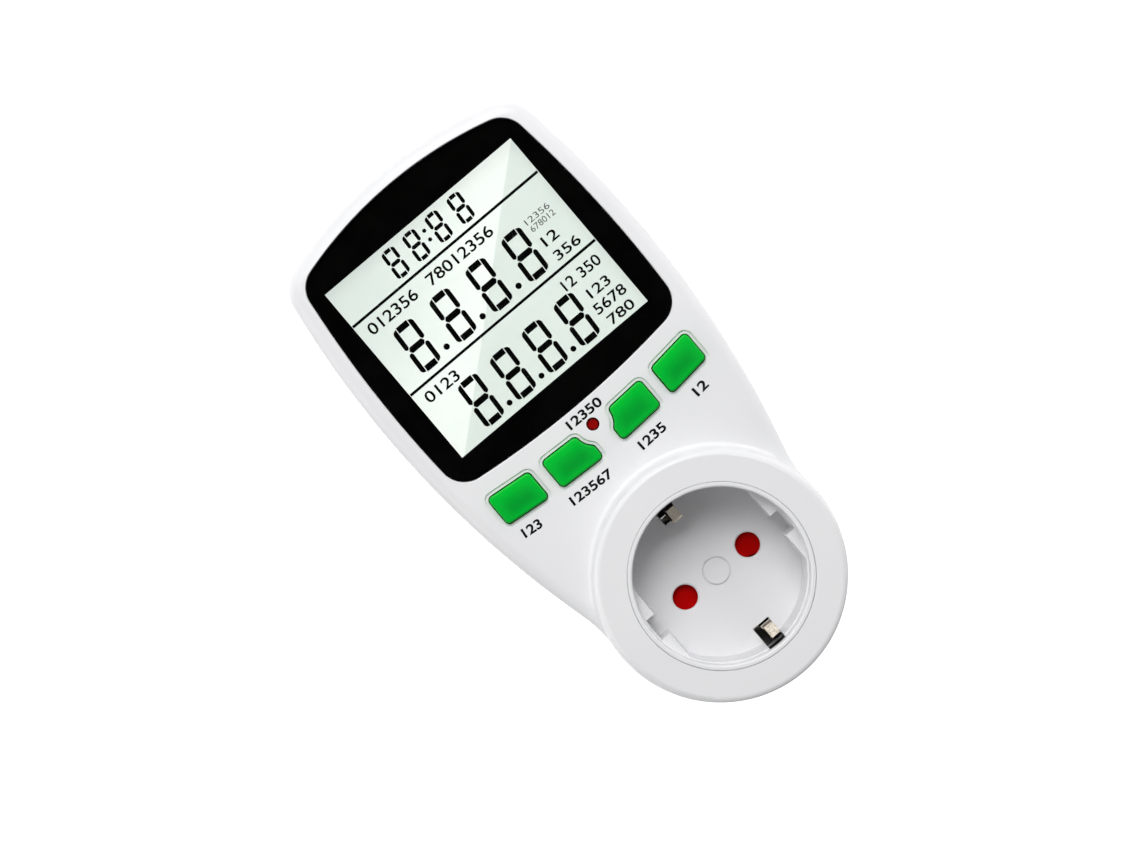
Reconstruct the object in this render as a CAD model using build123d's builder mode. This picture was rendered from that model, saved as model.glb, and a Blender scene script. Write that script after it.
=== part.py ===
from build123d import *
from math import cos, degrees, hypot, radians, sin, tan
import os

os.makedirs("parts", exist_ok=True)

# Plug-in energy meter. X runs to the right and Z up, seen from the user's side.
# Heights run from the plug's face towards the user: Plane.XZ.offset(h) lies at Y = -h.

# Pin holes and the shutter behind them, which set the socket's sizes from the middle out
pin_spacing = 19.0
socket_hole_radius = 3.0
socket_hole_chamfer = 0.35
shutter_hole_radius = 3.2
shutter_hole_chamfer = 0.5
shutter_rim = 0.3
shutter_radius = pin_spacing / 2 + shutter_hole_radius + shutter_hole_chamfer + shutter_rim
shutter_thickness = 2.0
shutter_gap = 0.3
shutter_turn = 38.0
shutter_tab_reach = 1.3
shutter_tab_width = 4.0
shutter_tab_angle = 50.0
hub_radius = 3.4
hub_drop = 2.6
hub_clearance = 0.06
post_radius = 2.0
socket_holes = [(-pin_spacing / 2, 0), (pin_spacing / 2, 0)]

# Carrier cup round the shutter, and the shutter's spring
cup_play = 0.5
cup_inner = shutter_radius + cup_play
cup_wall = 1.2
cup_bottom = 2.0
cup_depth = 7.1
contact_window_gap = 0.5
spring_wire = 0.5
spring_radius = 4.05
spring_pitch = 0.8
spring_turns = 2.5
spring_leg = 3.0
spring_gap = 0.1

# Socket well: recess, guide ribs, earth openings
earth_slot_gap = 0.6
earth_slot_reach = 4.1
earth_slot_width = 4.6
earth_slot_inner = cup_inner + cup_wall + earth_slot_gap
earth_slot_rise = 14.4
recess_radius = earth_slot_inner + earth_slot_reach
recess_depth = 17.5
mouth_widening = 0.3
mouth_radius = recess_radius + mouth_widening
well_wall = 1.4
well_clearance = 0.08
well_floor = 2.0
well_mouth_round = 0.4
well_edge_chamfer = 0.15
rib_rise = 2.6
rib_flat = recess_radius - rib_rise
rib_slot = 5.7
rib_drop = 5.0
centre_ring_radius = 3.4
centre_ring_width = 0.4
centre_ring_depth = 0.3
well_flange_width = 1.5
well_flange = 1.5
sleeve_wall = 1.5
well_radius = recess_radius + well_wall
collar_bore = well_radius + well_clearance
sleeve_radius = collar_bore + sleeve_wall

# Case depth and walls: the board's tallest parts set how deep the case is
wall = 2.2
plug_height = 17.0
rear_depth = 9.0
board_gap = 8.4
board_thickness = 1.6
tall_part_height = 11.5
tall_part_gap = 1.1
back_edge_radius = 1.5
lip_width = 1.0
lip_height = 1.6
lip_clearance = 0.12
wall_height = plug_height
parting_height = wall_height + rear_depth
back_inside = wall_height + wall
board_back = back_inside + tall_part_gap + tall_part_height
board_front = board_back + board_thickness
face_inside = board_front + board_gap
face_height = face_inside + wall
front_depth = face_height - parting_height

# Collar round the socket
collar_band = 6.52
collar_rise = 7.0
collar_draft = 0.9
collar_edge_radius = 1.4
collar_foot_radius = 0.9
base_radius = sleeve_radius + collar_band
collar_top_radius = base_radius - collar_draft
collar_height = face_height + collar_rise
floor_height = collar_height - recess_depth
floor_back = floor_height - well_floor
flange_top = floor_back + well_flange

# Key row above the collar, and the display above the keys
key_row_rise = 12.27
outer_key_rise = 1.22
reset_rise = 3.18
keys_to_lens = 8.75
inner_key_z = base_radius + key_row_rise
outer_key_z = inner_key_z + outer_key_rise
reset_z = inner_key_z + reset_rise
lens_bottom = inner_key_z + keys_to_lens

# Display window, and the black band round it on the lens
window_half_width = 27.8
window_height = 48.75
lens_side_band = 5.95
lens_top_band = 9.7
lens_bottom_band = 7.8
window_bottom = lens_bottom + lens_bottom_band
window_top = window_bottom + window_height
lens_half_width = window_half_width + lens_side_band
lens_top = window_top + lens_top_band
lens_side_radius = 265.0
lens_top_radius = 100.0
lens_bottom_radius = 220.0
lens_corner_radius = 6.5
lens_thickness = 1.5
lens_sink = 0.1
lens_chamfer = 0.2
lens_clearance = 0.12
lens_ledge = 1.6
ledge_thickness = 1.6
ledge_rim = 1.6
mask_thickness = 0.2
mask_clearance = 0.15

# Case outline, measured from the socket's axis
case_side_rim = 4.4
case_top_rim = 3.55
edge_land = 0.23
widest_above_lens_bottom = 22.3
side_radius = 234.0
top_radius = 100.0
case_corner_radius = 7.0
waist_radius = 32.0
case_half_width = lens_half_width + case_side_rim
case_top = lens_top + case_top_rim
widest_z = lens_bottom + widest_above_lens_bottom
front_edge_radius = case_top_rim - lens_clearance - edge_land

# Liquid crystal cell, its holder and the strip that feeds it
cell_gap = 1.8
cell_side_margin = 1.05
cell_top_margin = 1.2
cell_bottom_margin = 3.8
cell_half_width = window_half_width + cell_side_margin
cell_top = window_top + cell_top_margin
cell_bottom = window_bottom - cell_bottom_margin
cell_glass = 1.0
cell_ink = 0.15
liquid_gap = 0.03
cell_ledge = 2.2
reflector_thickness = 0.2
holder_wall = 0.8
holder_clearance = 0.15
holder_ledge = 1.35
holder_ledge_width = 1.9
zebra_width = 1.5

# Display figures, their heights above the window's lower edge
divider_width = 0.65
divider_rises = [39.2, 18.65]
figure_slant = 3.2
segment_gap = 0.2
colon_places = [(-1.15, 43.2), (-0.9, 45.6)]
colon_radius = 0.48

# Keys, from the case's sides inwards
key_side_margin = 14.2
key_gap = 3.8
key_middle_gap = 6.05
outer_key_size = (11.1, 7.45)
outer_key_slope = 6.3
inner_key_height = 7.5
inner_key_slope = 2.7
outer_key_x = case_half_width - key_side_margin
inner_key_width = outer_key_x - outer_key_size[0] / 2 - key_gap - key_middle_gap / 2
inner_key_x = (key_middle_gap + inner_key_width) / 2
key_rise = 1.0
key_clearance = 0.3
key_flange_width = 0.8
key_flange = 1.0
key_flange_gap = 0.2
key_round = 0.45
key_corner_radius = 1.0
key_post_radius = 1.8
key_pad_margin = 1.1
key_pad_depth = 0.4
reset_radius = 1.25
reset_clearance = 0.28
reset_sink = 0.8
reset_round = 0.3
reset_flange_radius = 2.5
reset_post_radius = 1.2
reset_notch_radius = 4.95
notch_corner_radius = 1.0

# Keypad mat, with a dome under each key
mat_thickness = 0.8
mat_margin_below = 6.0
mat_margin_above = 3.0
mat_corner_radius = 1.0
dome_foot_radius = 4.2
dome_top_radius = 2.6
reset_dome_foot = 3.3
reset_dome_top = 1.8
dome_gap = 0.1
dome_wall = 0.8
dome_share = 0.65
mat_bottom = inner_key_z - mat_margin_below
mat_top = reset_z + mat_margin_above

# Circuit board
board_side_gap = 6.95
board_edge_gap = 1.0
board_above_sleeve = 2.55
board_post_radius = 2.2
board_screw_inset = 3.0
board_low_screw_inset = 3.5
board_screw_drop = 3.8
board_low_screw_drop = 4.6
mat_side_gap = 0.2
board_half_width = case_half_width - board_side_gap
board_bottom = sleeve_radius + board_above_sleeve
mat_half_width = board_half_width - mat_side_gap
board_screw_x = board_half_width - board_screw_inset
board_screw_z = cell_bottom - board_screw_drop
board_low_screw_x = board_half_width - board_low_screw_inset
board_low_screw_z = mat_bottom - board_low_screw_drop
board_screw_places = [
    (-board_screw_x, board_screw_z),
    (board_screw_x, board_screw_z),
    (-board_low_screw_x, board_low_screw_z),
    (board_low_screw_x, board_low_screw_z),
]

# Plug: boss, side flats, pins
boss_play = 0.9
boss_flat_play = 0.3
boss_wall = 2.0
boss_face = 3.0
boss_chamfer = 0.6
boss_radius = recess_radius - boss_play
boss_flat = rib_flat - boss_flat_play
boss_tongue = rib_slot - boss_flat_play
pin_radius = 2.4
pin_length = 19.0
pin_tip_round = 1.2
pin_seat_radius = 2.8
pin_seat_clearance = 0.05
pin_flange_radius = 3.8
pin_flange = 1.5
pin_tail_radius = 1.4
pin_tail_clearance = 0.1
rivet_clearance = 0.05
retainer_thickness = 2.0
retainer_height = 9.0
retainer_margin = 0.2
retainer_corner_radius = 1.5
retainer_post_radius = 2.4
retainer_post_rim = 0.4
retainer_width = pin_spacing + 2 * (pin_flange_radius + retainer_margin)
retainer_post_z = retainer_height / 2 + retainer_post_radius
retainer_posts = [(0, -retainer_post_z), (0, retainer_post_z)]

# Contacts
strip = 0.7
contact_width = 6.0
contact_base = (7.4, 11.0)
contact_gap_foot = 6.0
contact_gap_pinch = 3.8
contact_gap_mouth = 6.4
contact_pinch_drop = 6.2
contact_top_drop = 3.4
shunt_rise = 3.0
shunt_reach = 7.0

# Earth strap: blades, bridge and the clips, which stand a little to the right in their openings
earth_width = 4.0
earth_blade_inset = 0.65
earth_radius = earth_slot_inner + earth_blade_inset
earth_clip_gap = 1.0
earth_clip_radius = recess_radius - earth_clip_gap
earth_nose_inset = 0.75
earth_nose_radius = earth_slot_inner - earth_nose_inset
earth_tip_gap = 0.9
earth_tip_radius = recess_radius - earth_tip_gap
earth_clip_rise = 5.0
earth_nose_rise = 8.5
earth_tip_rise = 11.0
earth_clip_width = 2.8
earth_clip_shift = 0.75
earth_tip_width = 2.4
earth_tip_shift = 0.95
earth_tip_round = 1.1
earth_step_drop = 3.5
earth_bend = 1.0
earth_bridge_gap = 0.3
earth_clearance = 0.15
earth_start = 2.0

# Leads from the contacts to the board
lead_radius = 0.75
lead_bend = 3.0
lead_gap = 0.6
lead_seat_inset = 0.2
lead_board_inset = 4.0

# Screws: head radius, head height, shank radius and the clearance round a shank
case_screw = (2.4, 1.8, 1.4)
small_screw = (2.0, 1.4, 1.0)
screw_clearance = 0.08
screw_head_clearance = 0.3
screw_end_gap = 1.0
cross_width = 0.5
cross_depth = 0.7
case_screw_length = 14.0
well_screw_length = 8.0
board_screw_length = 7.0
carrier_screw_length = 5.0
retainer_screw_length = 5.0
retainer_hole_floor = 1.0
case_column_radius = 3.4
case_counterbore = 5.0
top_screw_side = 9.35
top_screw_drop = 8.6
top_boss_radius = 2.4
low_screw_margin = 0.6
low_screw_angle = 50.0
low_boss_radius = 2.4
boss_end_gap = 0.1
well_lug_gap = 0.2
well_boss_radius = 2.4
top_screw_x = case_half_width - top_screw_side
top_screw_z = case_top - top_screw_drop
case_head_radius = case_screw[0] + screw_head_clearance
low_screw_radius = base_radius - back_edge_radius - case_head_radius - low_screw_margin
well_screw_x = base_radius - wall - well_boss_radius - well_lug_gap
low_screw_x = low_screw_radius * cos(radians(low_screw_angle))
low_screw_z = -low_screw_radius * sin(radians(low_screw_angle))
top_screws = [(-top_screw_x, top_screw_z), (top_screw_x, top_screw_z)]
low_screws = [(-low_screw_x, low_screw_z), (low_screw_x, low_screw_z)]
case_screw_places = top_screws + low_screws
well_screw_places = [(-well_screw_x, 0), (well_screw_x, 0)]


def at(height):
    """The drawing plane at a height above the plug's face."""
    return Plane.XZ.offset(height)


def finish(name, piece):
    """Label a piece and write it to its own file."""
    piece.part.label = name
    export_step(piece.part, f"parts/{name}.step")


def case_outline(inset):
    """The case seen from the user's side, drawn in by inset."""
    with BuildSketch() as outline:
        with Locations((case_half_width - side_radius, widest_z)):
            Circle(side_radius - inset)
        with Locations((side_radius - case_half_width, widest_z)):
            Circle(side_radius - inset, mode=Mode.INTERSECT)
        with Locations((0, case_top - top_radius)):
            Circle(top_radius - inset, mode=Mode.INTERSECT)
        Rectangle(2 * side_radius, 2 * side_radius, align=(Align.CENTER, Align.MAX), mode=Mode.SUBTRACT)
        fillet(outline.vertices().group_by(Axis.Y)[-1], case_corner_radius - inset)
        Circle(base_radius - inset)
        waist = outline.vertices().filter_by_position(Axis.Y, 1.0, widest_z / 2)
        fillet(waist, waist_radius + inset)
    return outline.sketch


def lens_outline(grow):
    """The display lens, grown by the given margin."""
    with BuildSketch() as outline:
        with Locations((lens_half_width - lens_side_radius, widest_z)):
            Circle(lens_side_radius + grow)
        with Locations((lens_side_radius - lens_half_width, widest_z)):
            Circle(lens_side_radius + grow, mode=Mode.INTERSECT)
        with Locations((0, lens_top - lens_top_radius)):
            Circle(lens_top_radius + grow, mode=Mode.INTERSECT)
        with Locations((0, lens_bottom + lens_bottom_radius)):
            Circle(lens_bottom_radius + grow, mode=Mode.INTERSECT)
        corners = outline.vertices().group_by(Axis.Y)
        fillet(corners[0] + corners[-1], lens_corner_radius + grow)
    return outline.sketch


def sloped_key(side, x, z, width, height, slope):
    """A key's corners: upright sides, and a top and bottom that rise outwards."""
    half, rise = width / 2, tan(radians(slope)) * width / 2
    outer, inner = side * (x + half), side * (x - half)
    low, high = z - height / 2, z + height / 2
    Polygon((inner, low - rise), (outer, low + rise), (outer, high + rise), (inner, high - rise), align=None)


def outer_key_outline(side, grow):
    """A key at the row's end, grown by the given margin."""
    with BuildSketch() as outline:
        sloped_key(side, outer_key_x, outer_key_z, *outer_key_size, outer_key_slope)
        fillet(outline.vertices(), key_corner_radius)
        if grow:
            offset(amount=grow)
    return outline.sketch


def inner_key_outline(side, grow):
    """A key beside the reset button, with a concave corner round it."""
    with BuildSketch() as outline:
        sloped_key(side, inner_key_x, inner_key_z, inner_key_width, inner_key_height, inner_key_slope)
        fillet(outline.vertices(), key_corner_radius)
        with Locations((0, reset_z)):
            Circle(reset_notch_radius, mode=Mode.SUBTRACT)
        on_notch = [
            v for v in outline.vertices() if abs(hypot(v.X, v.Y - reset_z) - reset_notch_radius) < 0.01
        ]
        fillet(on_notch, notch_corner_radius)
        if grow:
            offset(amount=grow)
    return outline.sketch


def key_outlines(grow):
    """All four keys, from left to right."""
    return [
        outer_key_outline(-1, grow),
        inner_key_outline(-1, grow),
        inner_key_outline(1, grow),
        outer_key_outline(1, grow),
    ]


def screws(name, places, seat, length, size, forward=1):
    """A set of screws whose heads bear on a seat height, pointing to the user or away."""
    head, head_height, shank = size
    with BuildPart() as group:
        with BuildSketch(at(seat)):
            with Locations(*places):
                Circle(head)
        extrude(amount=-forward * head_height)
        with BuildSketch(at(seat)):
            with Locations(*places):
                Circle(shank)
        extrude(amount=forward * length)
        with BuildSketch(at(seat - forward * head_height)):
            with Locations(*places):
                Rectangle(1.4 * head, cross_width)
                Rectangle(cross_width, 1.4 * head)
        extrude(amount=forward * cross_depth, mode=Mode.SUBTRACT)
    finish(name, group)


case_face = case_outline(0)
cavity_face = case_outline(wall)

# Rear cover: back plate, plug boss, screw columns and the lip that the front cover fits over
with BuildPart() as rear_cover:
    with BuildSketch(at(wall_height)):
        add(case_face)
    extrude(amount=rear_depth)
    fillet(rear_cover.edges().group_by(Axis.Y)[-1], back_edge_radius)
    with BuildSketch(at(back_inside)):
        add(cavity_face)
    extrude(amount=rear_depth, mode=Mode.SUBTRACT)
    with BuildSketch(at(parting_height)) as lip:
        add(case_outline(wall + lip_clearance))
        add(case_outline(wall + lip_clearance + lip_width), mode=Mode.SUBTRACT)
        with Locations(*top_screws):
            Circle(top_boss_radius + screw_head_clearance, mode=Mode.SUBTRACT)
        with Locations(*low_screws):
            Circle(low_boss_radius + screw_head_clearance, mode=Mode.SUBTRACT)
    extrude(amount=lip_height)
    with BuildSketch(at(parting_height - lip_height)):
        add(cavity_face)
        add(case_outline(wall + lip_clearance + lip_width), mode=Mode.SUBTRACT)
    extrude(amount=lip_height)
    with BuildSketch(at(wall_height)):
        with Locations(*case_screw_places):
            Circle(case_column_radius)
    extrude(amount=rear_depth)
    with BuildSketch(at(0)):
        Circle(boss_radius)
        Rectangle(2 * boss_flat, 2 * boss_radius, mode=Mode.INTERSECT)
        with BuildSketch(mode=Mode.PRIVATE) as tongue:
            Circle(boss_radius)
            Rectangle(2 * boss_radius, boss_tongue, mode=Mode.INTERSECT)
        add(tongue.sketch)
    extrude(amount=back_inside)
    chamfer(rear_cover.edges().group_by(Axis.Y)[-1], boss_chamfer)
    with BuildSketch(at(boss_face)) as hollow:
        Circle(boss_radius - boss_wall)
        Rectangle(2 * (boss_flat - boss_wall), 2 * boss_radius, mode=Mode.INTERSECT)
        notch_floor = earth_radius - strip / 2 - earth_clearance
        for end in (-1, 1):
            with Locations((0, end * (notch_floor - boss_wall))):
                Rectangle(
                    earth_width + 2 * boss_wall,
                    boss_radius,
                    align=(Align.CENTER, Align.MIN if end > 0 else Align.MAX),
                    mode=Mode.SUBTRACT,
                )
    extrude(amount=back_inside - boss_face, mode=Mode.SUBTRACT)
    with BuildSketch(at(0)):
        for end in (-1, 1):
            with Locations((0, end * notch_floor)):
                Rectangle(
                    earth_width + 2 * earth_clearance,
                    boss_radius,
                    align=(Align.CENTER, Align.MIN if end > 0 else Align.MAX),
                )
    extrude(amount=wall_height, mode=Mode.SUBTRACT)
    with BuildSketch(at(wall_height)):
        for end in (-1, 1):
            with Locations((0, end * earth_radius)):
                Rectangle(earth_width + 2 * earth_clearance, strip + 2 * earth_clearance)
    extrude(amount=wall, mode=Mode.SUBTRACT)
    with BuildSketch(at(0)):
        with Locations(*socket_holes):
            Circle(pin_seat_radius + pin_seat_clearance)
    extrude(amount=boss_face, mode=Mode.SUBTRACT)
    with BuildSketch(at(boss_face)):
        with Locations(*retainer_posts):
            Circle(retainer_post_radius)
    extrude(amount=pin_flange)
    with BuildSketch(at(retainer_hole_floor)):
        with Locations(*retainer_posts):
            Circle(small_screw[2] + screw_clearance)
    extrude(amount=boss_face + pin_flange - retainer_hole_floor, mode=Mode.SUBTRACT)
    with BuildSketch(at(wall_height)):
        with Locations(*case_screw_places):
            Circle(case_head_radius)
    extrude(amount=case_counterbore, mode=Mode.SUBTRACT)
    with BuildSketch(at(wall_height)):
        with Locations(*case_screw_places):
            Circle(case_screw[2] + screw_clearance)
    extrude(amount=rear_depth, mode=Mode.SUBTRACT)
finish("rear_cover", rear_cover)

# Front cover: head, collar, sleeve for the socket well, display ledge, key openings and bosses
with BuildPart() as front_cover:
    with BuildSketch(at(parting_height)):
        add(case_face)
    extrude(amount=front_depth)
    fillet(front_cover.edges().group_by(Axis.Y)[0], front_edge_radius)
    with BuildSketch(at(parting_height)):
        Circle(base_radius)
    extrude(amount=front_depth)
    with Locations(at(face_height)):
        Cone(base_radius, collar_top_radius, collar_rise, align=(Align.CENTER, Align.CENTER, Align.MIN))
    fillet(front_cover.edges().group_by(Axis.Y)[0], collar_edge_radius)
    on_face = front_cover.edges().filter_by(GeomType.CIRCLE).filter_by_position(
        Axis.Y, -face_height - 0.01, -face_height + 0.01
    )
    upper_half = on_face.filter_by(lambda e: e.center().Z > base_radius / 2)
    collar_foot = [e for e in upper_half if abs(e.radius - base_radius) < 0.01]
    fillet(collar_foot, collar_foot_radius)
    with BuildSketch(at(parting_height)):
        add(cavity_face)
    extrude(amount=front_depth - wall, mode=Mode.SUBTRACT)
    with BuildSketch(at(face_inside)):
        Circle(collar_top_radius - wall)
        Circle(sleeve_radius, mode=Mode.SUBTRACT)
    extrude(amount=collar_rise, mode=Mode.SUBTRACT)
    with BuildSketch(at(flange_top)):
        Circle(sleeve_radius)
    extrude(amount=collar_height - wall - flange_top)
    with BuildSketch(at(face_inside)):
        with Locations(*case_screw_places[:2]):
            Circle(top_boss_radius)
    extrude(amount=parting_height + boss_end_gap - face_inside)
    with BuildSketch(at(face_inside)):
        with Locations(*low_screws):
            Circle(low_boss_radius)
    extrude(amount=parting_height + boss_end_gap - face_inside)
    with BuildSketch(at(flange_top)):
        with Locations(*well_screw_places):
            Circle(well_boss_radius)
    extrude(amount=collar_height - wall - flange_top)
    with BuildSketch(at(board_front)):
        with Locations(*board_screw_places):
            Circle(board_post_radius)
    extrude(amount=board_gap)
    with BuildSketch(at(floor_back)):
        Circle(collar_bore)
    extrude(amount=collar_height, mode=Mode.SUBTRACT)
    with BuildSketch(at(face_height - lens_thickness - lens_sink - ledge_thickness)):
        add(lens_outline(ledge_rim))
    extrude(amount=ledge_thickness)
    with BuildSketch(at(face_height - lens_thickness - lens_sink)):
        add(lens_outline(lens_clearance))
    extrude(amount=collar_rise, mode=Mode.SUBTRACT)
    with BuildSketch(at(face_inside - ledge_thickness)):
        add(lens_outline(-lens_ledge))
    extrude(amount=collar_rise, mode=Mode.SUBTRACT)
    for outline in key_outlines(key_pad_margin):
        with BuildSketch(at(face_height - key_pad_depth)):
            add(outline)
        extrude(amount=collar_rise, mode=Mode.SUBTRACT)
    for outline in key_outlines(key_clearance):
        with BuildSketch(at(face_inside)):
            add(outline)
        extrude(amount=wall, mode=Mode.SUBTRACT)
    with BuildSketch(at(face_inside)):
        with Locations((0, reset_z)):
            Circle(reset_radius + reset_clearance)
    extrude(amount=wall, mode=Mode.SUBTRACT)
    with BuildSketch(at(parting_height)):
        with Locations(*case_screw_places):
            Circle(case_screw[2] + screw_clearance)
    extrude(amount=case_screw_length - rear_depth + case_counterbore + screw_end_gap, mode=Mode.SUBTRACT)
    with BuildSketch(at(flange_top)):
        with Locations(*well_screw_places):
            Circle(small_screw[2] + screw_clearance)
    extrude(amount=well_screw_length - well_flange + screw_end_gap, mode=Mode.SUBTRACT)
    with BuildSketch(at(board_front)):
        with Locations(*board_screw_places):
            Circle(small_screw[2] + screw_clearance)
    extrude(amount=board_screw_length - board_thickness + screw_end_gap, mode=Mode.SUBTRACT)
finish("front_cover", front_cover)

# Display lens, clear, seated on the front cover's ledge
lens_back = face_height - lens_thickness - lens_sink
with BuildPart() as display_lens:
    with BuildSketch(at(lens_back)):
        add(lens_outline(0))
    extrude(amount=lens_thickness)
    chamfer(display_lens.edges().group_by(Axis.Y)[0], lens_chamfer)
finish("display_lens", display_lens)

# Black mask on the back of the lens, with the display's window
with BuildPart() as lens_mask:
    with BuildSketch(at(lens_back)):
        add(lens_outline(-lens_ledge - mask_clearance))
        with Locations((0, (window_top + window_bottom) / 2)):
            Rectangle(2 * window_half_width, window_top - window_bottom, mode=Mode.SUBTRACT)
    extrude(amount=-mask_thickness)
finish("lens_mask", lens_mask)

# Liquid crystal cell: front glass, figures, rear glass and reflector
cell_front = lens_back - cell_gap
cell_middle = (cell_top + cell_bottom) / 2
with BuildPart() as lcd_front_glass:
    with BuildSketch(at(cell_front)):
        with Locations((0, cell_middle)):
            Rectangle(2 * cell_half_width, cell_top - cell_bottom)
    extrude(amount=-cell_glass)
finish("lcd_front_glass", lcd_front_glass)

rear_glass_bottom = cell_bottom + cell_ledge
rear_glass_middle = (cell_top + rear_glass_bottom) / 2
ink_front = cell_front - cell_glass
ink_back = ink_front - cell_ink
with BuildPart() as lcd_rear_glass:
    with BuildSketch(at(ink_back)):
        with Locations((0, rear_glass_middle)):
            Rectangle(2 * cell_half_width, cell_top - rear_glass_bottom)
    extrude(amount=-cell_glass)
finish("lcd_rear_glass", lcd_rear_glass)

rear_glass_back = ink_back - cell_glass
reflector_back = rear_glass_back - reflector_thickness
with BuildPart() as lcd_reflector:
    with BuildSketch(at(rear_glass_back)):
        with Locations((0, rear_glass_middle)):
            Rectangle(2 * cell_half_width, cell_top - rear_glass_bottom)
    extrude(amount=-reflector_thickness)
finish("lcd_reflector", lcd_reflector)


# A stroke beside the figure's outline: across from its outer side, and up from the figure's middle or
# down from its top, as shares of the stroke's width
upright_foot = [(1.0, 0.88), (0.66, 0.39), (0.25, 0.49), (0.0, 0.82)]
upright_shoulder = [(0.0, 0.9), (0.3, 0.42), (1.0, 0.18)]
middle_tip = 0.6
middle_shoulder = 1.04

# Each display row: first figure's left edge, steps to the next ones, rise in the window, width, height,
# stroke of the uprights and of the bars, then the point's gap, rise and radius
display_rows = [
    (-12.5, (6.2, 6.75, 6.6), 40.5, 3.7, 7.4, 0.85, 0.92, None),
    (-22.15, (10.83, 10.83, 10.83), 20.3, 5.82, 12.35, 1.16, 1.52, (2.17, 1.6, 0.74)),
    (-18.95, (9.61, 9.61, 9.61), 1.35, 5.77, 12.1, 1.16, 1.48, (1.75, 1.37, 0.69)),
]


def figure(left, bottom, width, height, upright, bar):
    """A seven-segment eight: its uprights have the outline's corners, and short bars lie between them."""
    lean = tan(radians(figure_slant))
    half_width, half_height = width / 2, height / 2
    centre, middle = left + half_width, bottom + half_height

    def segment(corners, side=1, level=1):
        """One closed segment, mirrored to a side and a level of the figure."""
        placed = [(centre + side * x, level * z) for x, z in corners]
        Polygon(*[(x + lean * z, middle + z) for x, z in placed], align=None)

    foot = [(half_width - across * upright, up * upright) for across, up in upright_foot]
    head = [
        (half_width - across * upright, half_height - down * upright) for across, down in upright_shoulder
    ]
    end = half_width - upright - segment_gap
    low = half_height - bar
    for level in (-1, 1):
        segment([(-end, low), (end, low), (end, half_height), (-end, half_height)], level=level)
        for side in (-1, 1):
            segment(foot + head, side, level)
    tip, shoulder = half_width - middle_tip * upright, half_width - middle_shoulder * upright
    right_end = [(shoulder, -bar / 2), (tip, 0), (shoulder, bar / 2)]
    segment(right_end + [(-x, -z) for x, z in right_end])


# Printed figures and dividers, inside the cell
with BuildPart() as lcd_segments:
    with BuildSketch(at(ink_back)):
        for left, steps, rise, width, height, upright, bar, point in display_rows:
            bottom = window_bottom + rise
            for place in range(len(steps) + 1):
                figure_left = left + sum(steps[:place])
                figure(figure_left, bottom, width, height, upright, bar)
                if point and place < len(steps):
                    point_gap, point_rise, point_radius = point
                    with Locations((figure_left + width + point_gap, bottom + point_rise)):
                        Circle(point_radius)
        with Locations(*[(x, window_bottom + rise) for x, rise in colon_places]):
            Circle(colon_radius)
        with Locations(*[(0, window_bottom + rise) for rise in divider_rises]):
            Rectangle(2 * window_half_width, divider_width)
    extrude(amount=cell_ink - liquid_gap)
finish("lcd_segments", lcd_segments)

# Holder: a frame round the cell, with a ledge under its sides and top
holder_inner = cell_half_width + holder_clearance
holder_top = cell_top + holder_clearance
holder_bottom = cell_bottom - holder_clearance
with BuildPart() as lcd_holder:
    with BuildSketch(at(board_front)):
        with Locations((0, (holder_top + holder_bottom) / 2)):
            Rectangle(2 * (holder_inner + holder_wall), holder_top - holder_bottom + 2 * holder_wall)
            Rectangle(2 * holder_inner, holder_top - holder_bottom, mode=Mode.SUBTRACT)
    extrude(amount=cell_front - board_front)
    with BuildSketch(at(reflector_back - holder_ledge)):
        with Locations((0, (holder_top + rear_glass_bottom) / 2)):
            Rectangle(2 * holder_inner, holder_top - rear_glass_bottom)
        with Locations((0, holder_bottom)):
            Rectangle(
                2 * (holder_inner - holder_ledge_width),
                holder_top - holder_bottom - holder_ledge_width,
                align=(Align.CENTER, Align.MIN),
                mode=Mode.SUBTRACT,
            )
    extrude(amount=holder_ledge)
finish("lcd_holder", lcd_holder)

# Conductive rubber strip from the board to the cell's contact ledge
with BuildPart() as zebra_strip:
    with BuildSketch(at(board_front)):
        with Locations((0, cell_bottom + cell_ledge / 2)):
            Rectangle(2 * (cell_half_width - holder_ledge_width), zebra_width)
    extrude(amount=ink_front - board_front)
finish("zebra_strip", zebra_strip)

# Keys: cap, flange behind the front cover, and the post over a rubber dome
key_top = face_height + key_rise
flange_front = face_inside - key_flange_gap
flange_back = flange_front - key_flange
mat_front = board_front + mat_thickness
dome_top = mat_front + (flange_back - mat_front) * dome_share
post_end = dome_top + dome_gap
key_places = [
    ("button_set", outer_key_outline, -1, (-outer_key_x, outer_key_z)),
    ("button_energy", inner_key_outline, -1, (-inner_key_x, inner_key_z)),
    ("button_cost", inner_key_outline, 1, (inner_key_x, inner_key_z)),
    ("button_up", outer_key_outline, 1, (outer_key_x, outer_key_z)),
]
for name, outline, side, centre in key_places:
    with BuildPart() as key:
        with BuildSketch(at(flange_back)):
            add(outline(side, 0))
        extrude(amount=key_top - flange_back)
        fillet(key.edges().group_by(Axis.Y)[0], key_round)
        with BuildSketch(at(flange_back)):
            add(outline(side, key_flange_width))
        extrude(amount=key_flange)
        with BuildSketch(at(flange_back)):
            with Locations(centre):
                Circle(key_post_radius)
        extrude(amount=post_end - flange_back)
    finish(name, key)

with BuildPart() as button_reset:
    with BuildSketch(at(flange_back)):
        with Locations((0, reset_z)):
            Circle(reset_radius)
    extrude(amount=face_height - reset_sink - flange_back)
    fillet(button_reset.edges().group_by(Axis.Y)[0], reset_round)
    with BuildSketch(at(flange_back)):
        with Locations((0, reset_z)):
            Circle(reset_flange_radius)
    extrude(amount=key_flange)
    with BuildSketch(at(flange_back)):
        with Locations((0, reset_z)):
            Circle(reset_post_radius)
    extrude(amount=post_end - flange_back)
finish("button_reset", button_reset)

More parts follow.
